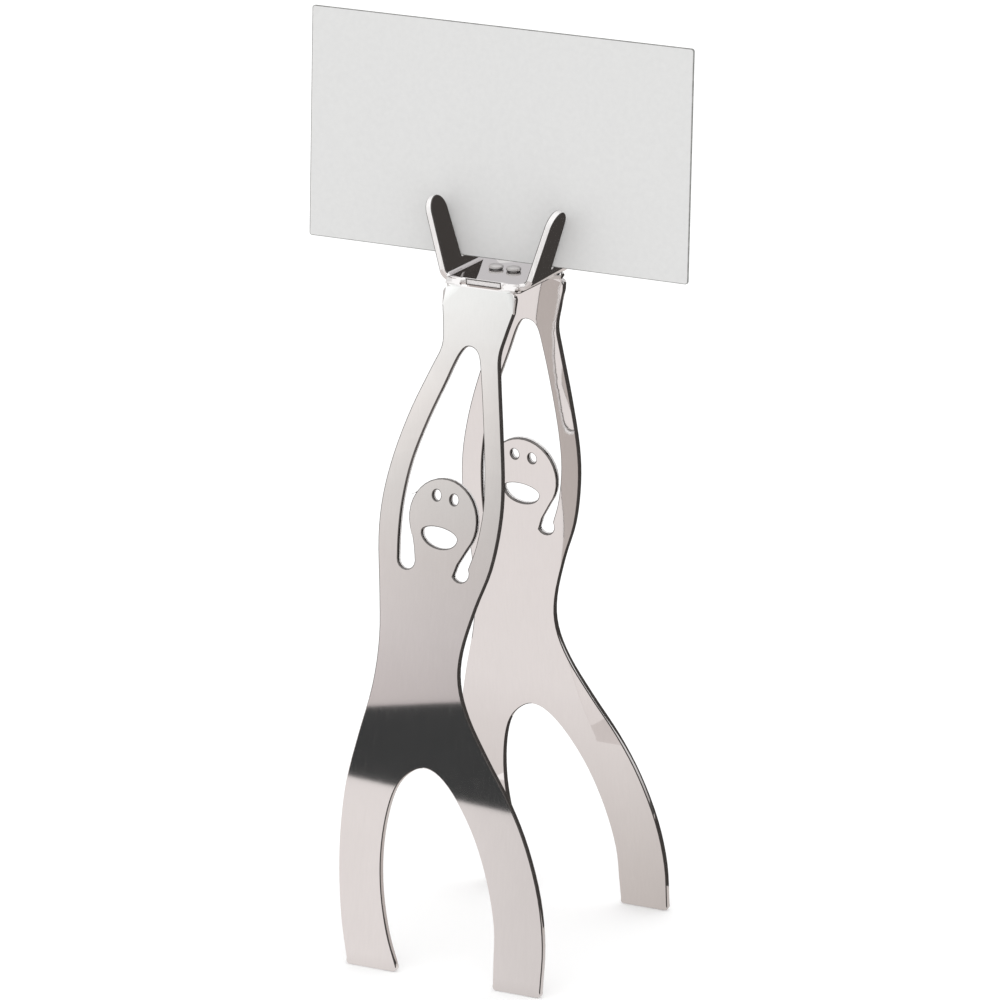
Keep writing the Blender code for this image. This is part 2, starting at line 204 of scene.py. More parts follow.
# %% [markdown]
# Lines and clouds are masks from nought to one, and a finish is what one makes of them. Four small
# functions do that: a mask mixes two colours, becomes a range of values, is joined with another by
# arithmetic, or becomes a relief of a real depth. Each returns a socket, so one can feed the next.
# The Mix node has sockets of one name for each kind of data, so its colours are found by number.

# %% Functions that use a mask
FIRST_COLOUR, SECOND_COLOUR, MIXED_COLOUR = 6, 7, 2


def two_tones(tree, mask, dark, light):
    """Mix two colours by a mask and return the mixed colour's socket."""
    mix = add_node(tree, "ShaderNodeMix", data_type="RGBA")
    tree.links.new(mask, mix.inputs["Factor"])
    mix.inputs[FIRST_COLOUR].default_value = (*dark, 1)
    mix.inputs[SECOND_COLOUR].default_value = (*light, 1)
    return mix.outputs[MIXED_COLOUR]


def between(tree, mask, low, high):
    """Turn a mask from nought to one into a value from low to high."""
    span = add_node(tree, "ShaderNodeMapRange")
    tree.links.new(mask, span.inputs["Value"])
    span.inputs["To Min"].default_value = low
    span.inputs["To Max"].default_value = high
    return span.outputs["Result"]


def combine(tree, operation, first, second):
    """Join a mask with a second one, or with a number, by a step of arithmetic."""
    step = add_node(tree, "ShaderNodeMath", operation=operation)
    tree.links.new(first, step.inputs[0])
    if isinstance(second, float):
        step.inputs[1].default_value = second
    else:
        tree.links.new(second, step.inputs[1])
    return step.outputs["Value"]


def bump(tree, height, depth, under=None):
    """Add a bump of a real depth in metres over an earlier one, and return the normal."""
    relief = add_node(tree, "ShaderNodeBump")
    relief.inputs["Distance"].default_value = depth
    tree.links.new(height, relief.inputs["Height"])
    if under is not None:
        tree.links.new(under, relief.inputs["Normal"])
    return relief.outputs["Normal"]


print("mask functions ready")

# %% [markdown]
# All the steel here is made by one function, because the faces, the cut edges and the rivets are
# the same metal worked in different ways. Clouds and lines together shift the tone a little, and
# the lines are duller. Where polish left a haze, the metal also scatters a little light like
# something white, which a Metallic below one gives. It shows only on the strongest lines, so their
# mask is raised to a power. Two bump nodes tilt the surface: the wave of the sheet, then the lines.

# %% Function for a steel finish
HAZE_POWER = 3.0
MARKS_PER_METRE = 90.0
WAVES_PER_METRE = 28.0


def steel(name, dark, light, polish, stretch, line_depth, wave_depth, haze=None):
    """A steel finish: two tones, a range of roughness, lines, a slight wave and maybe a haze."""
    material, tree, shader = start_material(name)
    shader.inputs["Metallic"].default_value = 1.0
    marks = use_group(tree, soft_clouds, **{"Per Metre": MARKS_PER_METRE}).outputs["Clouds"]
    wave = use_group(tree, soft_clouds, **{"Per Metre": WAVES_PER_METRE}).outputs["Clouds"]
    lines = use_group(tree, fine_lines, Stretch=stretch).outputs["Lines"]
    blotches = combine(tree, "MULTIPLY", combine(tree, "ADD", marks, lines), 0.5)
    tree.links.new(two_tones(tree, blotches, dark, light), shader.inputs["Base Color"])
    tree.links.new(between(tree, lines, *polish), shader.inputs["Roughness"])
    # A strong haze, as on the white satin below, paints a highlight with its white scattering.
    if haze:
        strong_lines = combine(tree, "POWER", lines, HAZE_POWER)
        tree.links.new(between(tree, strong_lines, *haze), shader.inputs["Metallic"])
    normal = bump(tree, wave, wave_depth)
    normal = bump(tree, lines, line_depth, normal)
    tree.links.new(normal, shader.inputs["Normal"])
    return material


print("steel function ready")

# %% [markdown]
# The sheets are mirror polished all over, cut edges too, so they take their tone from what stands
# around them. The edges of the forks, where the card goes in, are a white satin whose light colour
# and strong haze are a painted highlight. Along each rim a hair-thin dark line is painted as shade,
# which draws the outline. Inside the small cut-outs the front half is painted darker as shade, and
# the back half takes the white satin as a painted highlight. The rivets are satin, and their steel
# is painted darker as shade, so that the domes take the grey tone of the plate.

# %% Steel finishes
face_steel = steel(
    "polished_face", dark=(0.834, 0.814, 0.809), light=(0.866, 0.846, 0.841), polish=(0.029, 0.033),
    stretch=(2200, 2200, 50), line_depth=2e-8, wave_depth=1.2e-6, haze=(1.0, 0.991))
highlight_satin_steel = steel(
    "satin_painted_highlight", dark=(0.82, 0.805, 0.80), light=(0.92, 0.905, 0.90), polish=(0.34, 0.50),
    stretch=(1800, 1800, 120), line_depth=8e-7, wave_depth=1e-6, haze=(0.62, 0.42))
shaded_cut_out_steel = steel(
    "cut_out_painted_shade", dark=(0.13, 0.122, 0.118), light=(0.22, 0.207, 0.20), polish=(0.08, 0.18),
    stretch=(1800, 120, 1800), line_depth=4e-7, wave_depth=1e-6)
shaded_rim_steel = steel(
    "rim_painted_shade", dark=(0.06, 0.055, 0.053), light=(0.13, 0.120, 0.116), polish=(0.28, 0.45),
    stretch=(1800, 1800, 1800), line_depth=8e-7, wave_depth=1e-6)
shaded_rivet_steel = steel(
    "satin_rivet_painted_shade", dark=(0.46, 0.447, 0.44), light=(0.60, 0.585, 0.58), polish=(0.38, 0.50),
    stretch=(900, 900, 900), line_depth=4e-7, wave_depth=1e-6)
SHEET_FINISHES = (face_steel, shaded_rim_steel, highlight_satin_steel, shaded_cut_out_steel)
for finish in (*SHEET_FINISHES, shaded_rivet_steel):
    print("finish", finish.name)

# %% [markdown]
# Each figure is a laser-cut and folded sheet, and the construction already has its outline, folds
# and holes. What it lacks is the rounded rim that polishing leaves, which catches a thin line of
# light. First the sheet is copied and its loose triangles are merged. Flat ones are then joined
# into big faces, because a bevel runs best round faces without needles. A face can't have a hole
# in it, so level cuts through the eyes, the mouth and the rivet holes are marked as seams and kept.

# %% Functions that prepare a figure sheet
WELD = 0.000002
SHORTEST_STEP = 0.0001
FLAT_ANGLE = math.radians(0.2)
EYE_LINE = 0.1036
MOUTH_LINE = 0.0945
HAND_LINE = 0.1440
HOLE_CUTS = (((0, 0, EYE_LINE), (0, 0, 1)), ((0, 0, MOUTH_LINE), (0, 0, 1)), ((0, 0, 0), (0, 1, 0)))


def copy_of_node(node_name, piece_name):
    """Copy a node of the frame into a new piece, and make it the only selected object."""
    bpy.ops.object.select_all(action="DESELECT")
    piece = bpy.data.objects.new(piece_name, frame["nodes"][node_name].data.copy())
    bpy.context.scene.collection.objects.link(piece)
    piece.data.materials.clear()
    piece.select_set(True)
    bpy.context.view_layer.objects.active = piece
    return piece


def pick(mesh, vertices=None, edges=None, faces=None):
    """Select just those vertices, edges or faces of a mesh that pass a test, in object mode."""
    for items, test in ((mesh.vertices, vertices), (mesh.edges, edges), (mesh.polygons, faces)):
        for item in items:
            item.select = bool(test and test(item))


def join_flat_triangles(piece):
    """Merge the active piece's loose triangles, and join those that lie in one plane."""
    bpy.ops.object.mode_set(mode="EDIT")
    bpy.ops.mesh.select_mode(type="VERT")
    bpy.ops.mesh.select_all(action="SELECT")
    bpy.ops.mesh.remove_doubles(threshold=WELD)
    for point, direction in HOLE_CUTS:
        bpy.ops.mesh.select_all(action="SELECT")
        bpy.ops.mesh.bisect(plane_co=point, plane_no=direction)
        bpy.ops.mesh.mark_seam(clear=False)
    bpy.ops.mesh.select_all(action="SELECT")
    bpy.ops.mesh.dissolve_limited(angle_limit=FLAT_ANGLE, delimit={"SEAM"})
    bpy.ops.object.mode_set(mode="OBJECT")
    pick(piece.data, vertices=lambda vertex: vertex.co.z < HAND_LINE)
    bpy.ops.object.mode_set(mode="EDIT")
    bpy.ops.mesh.remove_doubles(threshold=SHORTEST_STEP)
    bpy.ops.object.mode_set(mode="OBJECT")


print("sheets are cut at", EYE_LINE, MOUTH_LINE, "m")

# %% [markdown]
# Some of the cut edges get a finish of their own, so they have to be found. A cut edge is a face
# that stands square to the sheet. Below the hands, walking along these from a foot gives the
# outline, so those that the walk can't reach line a cut-out: the eyes, the mouth or the gap inside
# the arms.

# %% Functions that find the cut-outs of a figure sheet
FOOT_LINE = 0.0007
SQUARE_TO_SHEET = 0.7


def faces_by_side(mesh, numbers):
    """For each side of the faces with these numbers, the numbers of those that share it."""
    sides = {}
    for number in numbers:
        for side in mesh.polygons[number].edge_keys:
            sides.setdefault(side, []).append(number)
    return sides


def cut_outs(mesh):
    """The numbers of the faces that line the cut-outs below the hands."""
    front = max(mesh.polygons, key=lambda face: face.area).normal
    cut = {face.index for face in mesh.polygons
           if face.center.z < HAND_LINE and abs(face.normal.dot(front)) < SQUARE_TO_SHEET}
    sides = faces_by_side(mesh, cut)
    waiting = [number for number in cut if mesh.polygons[number].center.z < FOOT_LINE]
    reached = set()
    while waiting:
        number = waiting.pop()
        if number not in reached:
            reached.add(number)
            for side in mesh.polygons[number].edge_keys:
                waiting.extend(sides.get(side, ()))
    return cut - reached


print("the outline starts below", 1000 * FOOT_LINE, "mm")

# %% [markdown]
# A sheet starts with the polished finish on every face. Another finish is given in edit mode, to the
# faces that are selected there. The lining of the cut-outs becomes dark, a painted shade in the hollow.
# It is then cut in two lengthwise, by a subdivision of the edges that its faces share, and the half at
# the back, which touches the face that looks backwards, becomes the white satin, a painted highlight.

# %% Functions that line the cut-outs
def finish_where(piece, finish, test):
    """Give those faces of the active sheet that pass a test one of the sheet's finishes."""
    pick(piece.data, faces=test)
    piece.active_material_index = SHEET_FINISHES.index(finish)
    bpy.ops.object.mode_set(mode="EDIT")
    bpy.ops.mesh.select_mode(type="FACE")
    bpy.ops.object.material_slot_assign()
    bpy.ops.object.mode_set(mode="OBJECT")


def line_cut_outs(piece):
    """Give the active sheet's cut-outs a painted shade half in front and a painted highlight half at the
    back.
    """
    lining = cut_outs(piece.data)
    finish_where(piece, shaded_cut_out_steel, lambda face: face.index in lining)
    shaded_index = SHEET_FINISHES.index(shaded_cut_out_steel)
    sides = faces_by_side(piece.data, [
        face.index for face in piece.data.polygons if face.material_index == shaded_index])
    bpy.ops.object.mode_set(mode="EDIT")
    bpy.ops.mesh.select_mode(type="EDGE")
    bpy.ops.object.mode_set(mode="OBJECT")
    pick(piece.data, edges=lambda edge: len(sides.get(edge.key, ())) == 2)
    bpy.ops.object.mode_set(mode="EDIT")
    bpy.ops.mesh.subdivide()
    bpy.ops.object.mode_set(mode="OBJECT")
    behind = {side for face in piece.data.polygons if face.normal.y > SQUARE_TO_SHEET
              for side in face.edge_keys}
    finish_where(piece, highlight_satin_steel, lambda face: (
        face.material_index == shaded_index and not behind.isdisjoint(face.edge_keys)))
    print("cut-outs have", len(lining), "faces")


print("a sheet has", len(SHEET_FINISHES), "finishes")

# %% [markdown]
# The sharp edges of a sheet are its rims. They are bevelled all round, except under the feet and in
# the tight folds of the hands, whose facets are narrower than the bevel. A bevel modifier with a
# limit by angle would round every sharp edge alike, so the edges are picked and bevelled in edit
# mode. The bevel takes the dark rim finish, a painted shade line along each rim.

# %% Functions that round the rims of a figure sheet
RIM_ROUND = 0.0002
RIM_STEPS = 3
RIM_ANGLE = math.radians(40)
FOLD_LOW = 0.1453
FOLD_HIGH = 0.1496
FOLD_START = 0.0085


def stays_sharp(point):
    """Whether a rim at this point is under a foot or in a tight fold."""
    in_fold = FOLD_LOW < point.z < FOLD_HIGH and abs(point.y) > FOLD_START
    return in_fold or point.z < FOOT_LINE


def round_rims(piece):
    """Bevel the active sheet's rims, and give the bevel the dark rim finish, a painted shade line."""
    bpy.ops.object.mode_set(mode="EDIT")
    bpy.ops.mesh.select_mode(type="EDGE")
    bpy.ops.mesh.select_all(action="DESELECT")
    bpy.ops.mesh.edges_select_sharp(sharpness=RIM_ANGLE)
    bpy.ops.object.mode_set(mode="OBJECT")
    place = [vertex.co for vertex in piece.data.vertices]
    pick(piece.data, edges=lambda edge: edge.select and not any(
        stays_sharp(place[end]) for end in edge.vertices))
    bpy.ops.object.mode_set(mode="EDIT")
    bpy.ops.mesh.bevel(
        offset=RIM_ROUND, segments=RIM_STEPS, affect="EDGES", clamp_overlap=False,
        material=SHEET_FINISHES.index(shaded_rim_steel))
    bpy.ops.object.mode_set(mode="OBJECT")


print("rims are rounded by", 1000 * RIM_ROUND, "mm")

# %% [markdown]
# On the forks the cut edges are the faces that don't look sideways, and they take the white satin,
# a painted highlight. The rims of the cut-outs take the painted shade or painted highlight beside
# them: the selection grows by one ring of faces for each step of the bevel. The left-hand rims below
# the hips keep the polished finish instead of the painted dark line. Last, weighted normals keep the
# flat faces flat.

# %% Functions for the finish of the forks and rims
HIP_LINE = 0.0580
FORK_LINE = 0.1500
FORK_SIDEWAYS = 0.6


def finish_forks(piece):
    """Give the edges of the active sheet's forks, if it has any, their white satin, a painted highlight."""
    finish_where(piece, highlight_satin_steel, lambda face: (
        face.center.z > FORK_LINE and abs(face.normal.x) < FORK_SIDEWAYS))


def finish_next_rims(piece, finish):
    """Give a finish below the hands to those of the active sheet's rim faces that touch it."""
    number, rim = SHEET_FINISHES.index(finish), SHEET_FINISHES.index(shaded_rim_steel)
    pick(piece.data, faces=lambda face: face.material_index == number and face.center.z < HAND_LINE)
    bpy.ops.object.mode_set(mode="EDIT")
    bpy.ops.mesh.select_mode(type="FACE")
    bpy.ops.mesh.select_more()
    bpy.ops.object.mode_set(mode="OBJECT")
    near = {face.index for face in piece.data.polygons if face.select}
    finish_where(piece, finish, lambda face: face.index in near and face.material_index == rim)


def finish_rims(piece):
    """Give the active sheet's rims their finish at the cut-outs and below the hips."""
    for _ in range(RIM_STEPS):
        finish_next_rims(piece, shaded_cut_out_steel)
        finish_next_rims(piece, highlight_satin_steel)
    rim = SHEET_FINISHES.index(shaded_rim_steel)
    finish_where(piece, face_steel, lambda face: (
        face.material_index == rim and face.center.z < HIP_LINE and face.normal.x < 0))


def smooth_with_flat_faces():
    """Shade the active piece smooth, with normals that follow its larger faces."""
    bpy.ops.object.shade_smooth()
    bpy.ops.object.modifier_add(type="WEIGHTED_NORMAL")
    bpy.ops.object.modifier_apply(modifier=bpy.context.object.modifiers[-1].name)


print("forks start", 1000 * FORK_LINE, "mm above the table")

# %% [markdown]
# A narrow slot is cut through the fold of the front figure's hands, so that the sheet bends there
# easily. Its back wall is painted as a bright stripe under a dark line: a painted highlight inside a
# painted shade line. The fold is too tight for a bevel, so the line comes from an inset: the wall is
# first all painted dark, and the face that the inset leaves in its middle becomes the white satin.

# %% Function for the slot in the fold
SLOT_MIDDLE = Vector((0.0019, -0.0099, 0.1488))
SLOT_REACH = 0.0008
SLOT_LINE = 0.0003
FORWARD = 0.9


def is_slot_wall(face):
    """Whether a face is the back wall of the slot, which faces forwards."""
    return (face.center - SLOT_MIDDLE).length < SLOT_REACH and face.normal.y < -FORWARD


def line_slot(piece):
    """Paint the slot's back wall in the active sheet, if it has one: a shade line round a highlight."""
    wall = {face.index for face in piece.data.polygons if is_slot_wall(face)}
    print("slot wall faces:", len(wall))
    if wall:
        finish_where(piece, shaded_cut_out_steel, lambda face: face.index in wall)
        bpy.ops.object.mode_set(mode="EDIT")
        bpy.ops.mesh.inset(thickness=SLOT_LINE)
        bpy.ops.object.mode_set(mode="OBJECT")
        middle = {face.index for face in piece.data.polygons if face.select}
        finish_where(piece, highlight_satin_steel, lambda face: face.index in middle)


print("the line round the slot is", 1000 * SLOT_LINE, "mm wide")

# %% [markdown]
# Both figures go through the same steps. They ride on the holder and stand for their construction
# nodes.

# %% The two figure sheets
for node_name, piece_name in (("front_figure", "front_sheet"), ("rear_figure", "rear_sheet")):
    sheet = copy_of_node(node_name, piece_name)
    join_flat_triangles(sheet)
    for finish in SHEET_FINISHES:
        sheet.data.materials.append(finish)
    line_cut_outs(sheet)
    finish_forks(sheet)
    round_rims(sheet)
    finish_rims(sheet)
    line_slot(sheet)
    smooth_with_flat_faces()
    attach(sheet, "holder")
    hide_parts(node_name)
    print(piece_name, len(sheet.data.polygons), "faces")

# %% [markdown]
# Two low rivets hold the plate to the flange below it. A rivet is a short pin with a domed head,
# and a second, flatter dome that the press made of its lower end. A lathe profile would give one
# too, but drawing out the end faces of a cylinder shows the order in which the press works: first
# outwards for the underside of the head, then up for its rim, then in and up along an ellipse.

# %% Functions for a rivet
RIVET_SHANK = 0.0020
RIVET_SIDES = 48
DOME_HEIGHT = 0.0008
RIM_SHARE = 0.35
DOME_STEPS = 7
DOME_TURN = math.radians(80)
CREASE_ANGLE = math.radians(35)


def draw_out(lift, share):
    """Extrude the selected end face by a lift, and scale it about its middle."""
    bpy.ops.mesh.extrude_region_move(TRANSFORM_OT_translate={"value": (0, 0, lift)})
    bpy.ops.transform.resize(value=(share, share, 1))


def dome_end(rise, radius):
    """Turn the selected end of the pin into a rim and a dome, upwards or downwards by a rise."""
    rim = rise * RIM_SHARE
    draw_out(0, 2 * radius / RIVET_SHANK)
    draw_out(rim, 1.0)
    height, width = 0.0, radius
    for step in range(1, DOME_STEPS + 1):
        turn = DOME_TURN * step / DOME_STEPS
        next_height = (rise - rim) * math.sin(turn) / math.sin(DOME_TURN)
        next_width = radius * math.cos(turn)
        draw_out(next_height - height, next_width / width)
        height, width = next_height, next_width


print("a dome has", DOME_STEPS, "rings of", RIVET_SIDES, "faces")

# %% [markdown]
# The left rivet is modelled in its place, which the construction node gives. The right one is its
# copy with a mesh of its own, moved by the distance between the two nodes. Applying the place
# afterwards puts each object back at the origin, as the frame asks.

# %% The two rivets
low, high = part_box("left_rivet")
bpy.ops.object.select_all(action="DESELECT")
bpy.ops.mesh.primitive_cylinder_add(
    vertices=RIVET_SIDES, radius=RIVET_SHANK / 2, depth=high.z - low.z - 2 * DOME_HEIGHT,
    location=(low + high) / 2)
left_rivet = bpy.context.object
left_rivet.name = "left_domed_rivet"
bpy.ops.object.transform_apply(location=True, rotation=True, scale=True)
for end, rise in ((high.z - DOME_HEIGHT, DOME_HEIGHT), (low.z + DOME_HEIGHT, -DOME_HEIGHT)):
    pick(left_rivet.data, faces=lambda face: len(face.vertices) > 4 and abs(face.center.z - end) < WELD)
    bpy.ops.object.mode_set(mode="EDIT")
    bpy.ops.mesh.select_mode(type="FACE")
    dome_end(rise, (high.x - low.x) / 2)
    bpy.ops.object.mode_set(mode="OBJECT")
left_rivet.data.materials.append(shaded_rivet_steel)
bpy.ops.object.shade_smooth_by_angle(angle=CREASE_ANGLE)
bpy.ops.object.duplicate(linked=False)
right_rivet = bpy.context.object
right_rivet.name = "right_domed_rivet"
bpy.ops.transform.translate(value=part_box("right_rivet")[0] - low)
bpy.ops.object.transform_apply(location=True, rotation=True, scale=True)
for piece, node_name in ((left_rivet, "left_rivet"), (right_rivet, "right_rivet")):
    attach(piece, "holder")
    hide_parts(node_name)
    print(piece.name, len(piece.data.polygons), "faces")

# %% [markdown]
# The card is smooth white stock. Close to, its fibres make faint clouds and a fine tooth, so the
# face mixes two near whites and has a shallow bump. The rim is painted dark grey, a painted shade
# that draws a thin dark outline round the card. That is a second, darker finish.

# %% Card finishes
FIBRES_PER_METRE = 900.0
GRAIN_STRETCH = (2500, 9000, 9000)
CARD_ROUGHNESS = (0.55, 0.70)
CARD_SHEEN = 0.3


def paper(name, dark, light, tooth):
    """A matt paper finish: two tones by its fibres, and a tooth of a real depth in metres."""
    material, tree, shader = start_material(name)
    fibres = use_group(tree, soft_clouds, **{"Per Metre": FIBRES_PER_METRE}).outputs["Clouds"]
    grain = use_group(tree, fine_lines, Stretch=GRAIN_STRETCH).outputs["Lines"]
    tree.links.new(two_tones(tree, fibres, dark, light), shader.inputs["Base Color"])
    tree.links.new(between(tree, fibres, *CARD_ROUGHNESS), shader.inputs["Roughness"])
    tree.links.new(bump(tree, grain, tooth), shader.inputs["Normal"])
    shader.inputs["Specular IOR Level"].default_value = CARD_SHEEN
    return material


card_face = paper("smooth_card", (0.640, 0.640, 0.636), (0.666, 0.666, 0.661), tooth=4e-6)
shaded_card_edge = paper("card_edge_painted_shade", (0.17, 0.17, 0.165), (0.30, 0.30, 0.29), tooth=1.2e-5)
print("finishes:", card_face.name, shaded_card_edge.name)

# %% [markdown]
# A card is cut from a flat sheet, so it starts as a flat plane at the card's size. A vertex bevel
# rounds the four corners, and an extrusion gives the thickness. A cube would give the size at once,
# but the four edges to round would then have to be picked out.

# %% Shape of the card
CARD_SIZE = (0.0900, 0.0500, 0.0005)
CARD_CORNER = 0.0006
CORNER_STEPS = 5

bpy.ops.object.select_all(action="DESELECT")
bpy.ops.mesh.primitive_plane_add(size=1.0)
card = bpy.context.object
card.name = "blank_card"
bpy.ops.object.mode_set(mode="EDIT")
bpy.ops.mesh.select_all(action="SELECT")
bpy.ops.transform.resize(value=(CARD_SIZE[0], CARD_SIZE[1], 1.0))
bpy.ops.transform.translate(value=(0, 0, -CARD_SIZE[2] / 2))
bpy.ops.mesh.bevel(offset=CARD_CORNER, segments=CORNER_STEPS, affect="VERTICES")
bpy.ops.mesh.select_all(action="SELECT")
bpy.ops.mesh.extrude_region_move(TRANSFORM_OT_translate={"value": (0, 0, CARD_SIZE[2])})
bpy.ops.mesh.select_all(action="SELECT")
bpy.ops.mesh.normals_make_consistent(inside=False)
bpy.ops.object.mode_set(mode="OBJECT")
print(card.name, len(card.data.polygons), "faces")

# %% [markdown]
# An inset on both faces of the card leaves a narrow rim, which gets the dark edge finish, a painted
# shade line, with the sides.
# Last the card is stood up and leaned back by the angle of its slots, which is also the line along
# which it lifts out. Mirror rays pass it by, so that the polished forks beside it stay dark.

# %% Rim and place of the card
CARD_RIM = 0.00014
LEVEL = 0.9

card.data.materials.append(shaded_card_edge)
card.data.materials.append(card_face)
pick(card.data, faces=lambda face: abs(face.normal.z) > LEVEL)
bpy.ops.object.mode_set(mode="EDIT")
bpy.ops.mesh.select_mode(type="FACE")
bpy.ops.mesh.inset(thickness=CARD_RIM, use_individual=True)
card.active_material_index = card.data.materials.find(card_face.name)
bpy.ops.object.material_slot_assign()
bpy.ops.object.mode_set(mode="OBJECT")
low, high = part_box("card")
lift_axis = frame["joints"][0]["axis"]
lean = math.atan2(lift_axis[1], lift_axis[2])
card.rotation_euler.x = math.pi / 2 - lean
card.location = (low + high) / 2
bpy.ops.object.transform_apply(location=True, rotation=True, scale=True)
bpy.ops.object.shade_smooth_by_angle(angle=CREASE_ANGLE)
card.visible_glossy = False
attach(card, "card")
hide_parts("card")
print("card leans", round(math.degrees(lean), 2), "degrees")

# %% [markdown]
# The floor is a wide white sheet, so wide that its far edge melts into the white surroundings in
# every view. It lies a hair below the feet, and faint clouds keep it from being quite even. A
# slight glow stands for light from below, which washes out the shadows as on a light table.

# %% Floor
FLOOR_SIZE = 60.0
FLOOR_DROP = 0.0002
FLOOR_GLOW = 0.10
FLOOR_DARK, FLOOR_LIGHT = (0.895, 0.895, 0.895), (0.905, 0.905, 0.905)
MOTTLE_PER_METRE = 3.0

bpy.ops.object.select_all(action="DESELECT")
bpy.ops.mesh.primitive_plane_add(size=FLOOR_SIZE, location=(0, 0, -FLOOR_DROP))
floor = bpy.context.object
floor.name = "studio_floor"
white_floor, tree, shader = start_material("white_floor")
mottle = use_group(tree, soft_clouds, **{"Per Metre": MOTTLE_PER_METRE}).outputs["Clouds"]
tree.links.new(two_tones(tree, mottle, FLOOR_DARK, FLOOR_LIGHT), shader.inputs["Base Color"])
shader.inputs["Roughness"].default_value = 1.0
shader.inputs["Specular IOR Level"].default_value = 0.0
shader.inputs["Emission Color"].default_value = (1, 1, 1, 1)
shader.inputs["Emission Strength"].default_value = FLOOR_GLOW
floor.data.materials.append(white_floor)
floor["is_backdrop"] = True
print("floor", FLOOR_SIZE, "m wide")

# %% [markdown]
# A mirror shows its surroundings, so polished metal is lit by what it reflects. Photographers
# stand boards around it: light ones for a smooth gradient and dark ones for contrast. These boards
# glow a little by themselves, so none needs a lamp. A colour ramp gives a board its tones along one
# axis, and the strength of its glow can fall off along any direction.

# %% Functions for glowing tones
def glowing(name, stops, axis="Z"):
    """A material that glows in tones along an axis: each stop has a place in metres and a colour."""
    material = bpy.data.materials.new(name)
    material.use_nodes = True
    tree = material.node_tree
    tree.nodes.remove(tree.nodes["Principled BSDF"])
    place = add_node(tree, "ShaderNodeTexCoord")
    split = add_node(tree, "ShaderNodeSeparateXYZ")
    share = add_node(tree, "ShaderNodeMapRange")
    ramp = add_node(tree, "ShaderNodeValToRGB")
    light = add_node(tree, "ShaderNodeEmission")
    first, last = stops[0][0], stops[-1][0]
    share.inputs["From Min"].default_value = first
    share.inputs["From Max"].default_value = last
    for _ in stops[2:]:
        ramp.color_ramp.elements.new(0.5)
    for element, (spot, colour) in zip(ramp.color_ramp.elements, stops):
        element.position = (spot - first) / (last - first)
        element.color = (*colour, 1)
    tree.links.new(place.outputs["Object"], split.inputs["Vector"])
    tree.links.new(split.outputs[axis], share.inputs["Value"])
    tree.links.new(share.outputs["Result"], ramp.inputs["Fac"])
    tree.links.new(ramp.outputs["Color"], light.inputs["Color"])
    tree.links.new(light.outputs["Emission"], tree.nodes["Material Output"].inputs["Surface"])
    return material


def one_tone(name, colour):
    """A material that glows evenly in one colour."""
    return glowing(name, ((0, colour), (1, colour)))


def fall_off(material, direction, bright, dim):
    """Let a glow fall off along a direction: bright and dim are a place in metres and a strength."""
    tree = material.node_tree
    along = add_node(tree, "ShaderNodeVectorMath", operation="DOT_PRODUCT")
    along.inputs[1].default_value = direction
    fall = add_node(tree, "ShaderNodeMapRange")
    fall.inputs["From Min"].default_value, fall.inputs["To Min"].default_value = bright
    fall.inputs["From Max"].default_value, fall.inputs["To Max"].default_value = dim
    tree.links.new(tree.nodes["Texture Coordinate"].outputs["Object"], along.inputs[0])
    tree.links.new(along.outputs["Value"], fall.inputs["Value"])
    tree.links.new(fall.outputs["Result"], tree.nodes["Emission"].inputs["Strength"])


print("glowing tones ready")

# %% [markdown]
# The boards are hidden from all but mirror rays, so they cast no shadow and never stand in the
# picture. A board is a plane whose four corners are put where they are wanted, because the edges of
# a reflection are easier to place by corners than by a turn and a size.

# %% Functions for reflection boards
def only_in_mirrors(board, material):
    """Give a board its glow, hide it from all rays but mirror ones, and mark it as stage."""
    board.data.materials.append(material)
    board.visible_camera = False
    board.visible_diffuse = False
    board.visible_transmission = False
    board.visible_volume_scatter = False
    board.visible_shadow = False
    board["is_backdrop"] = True
    print("board", board.name)


def lying(corners, height):
    """The corners of a board that lies level, from their places on the floor and its height."""
    return [(x, y, height) for x, y in corners]


def upright(left, right, low, high):
    """The corners of an upright board, from the places of its ends and its two heights."""
    return [(*end, height) for height in (low, high) for end in (left, right)]


def reflection_board(name, corners, material):
    """Make a board with four corners: near or low left, then right, far or high left, then right."""
    bpy.ops.object.select_all(action="DESELECT")
    bpy.ops.mesh.primitive_plane_add()
    board = bpy.context.object
    board.name = name
    for vertex, corner in zip(board.data.vertices, corners):
        vertex.co = corner
    only_in_mirrors(board, material)


print("boards glow without lighting the floor")

# %% [markdown]
# The floor in the mirror is a board of its own, because the floor in the picture is washed out to
# pure white. Here it keeps its tones: light in front, where the sheets look down at it, and darker
# between and behind the figures, a painted shade where they take away its light. In front it also
# falls off to the right, on a slant, so that the front figure's right leg is darker than its left
# one. A painted pool of light lies beside the left feet, a brighter patch of the floor in the
# mirror. The back of the front leg throws its light on to the rear leg, which would otherwise show
# that back as a grey patch.

# %% Boards on the floor
MIRROR_FLOOR = 0.75
MIRROR_FLOOR_DROP = 0.0001
LIGHT_POOL_CORNERS = ((-0.0270, -0.0255), (-0.0228, -0.0255), (-0.0360, -0.0085), (-0.0105, -0.0085))
LIGHT_POOL_LIFT = 0.0001

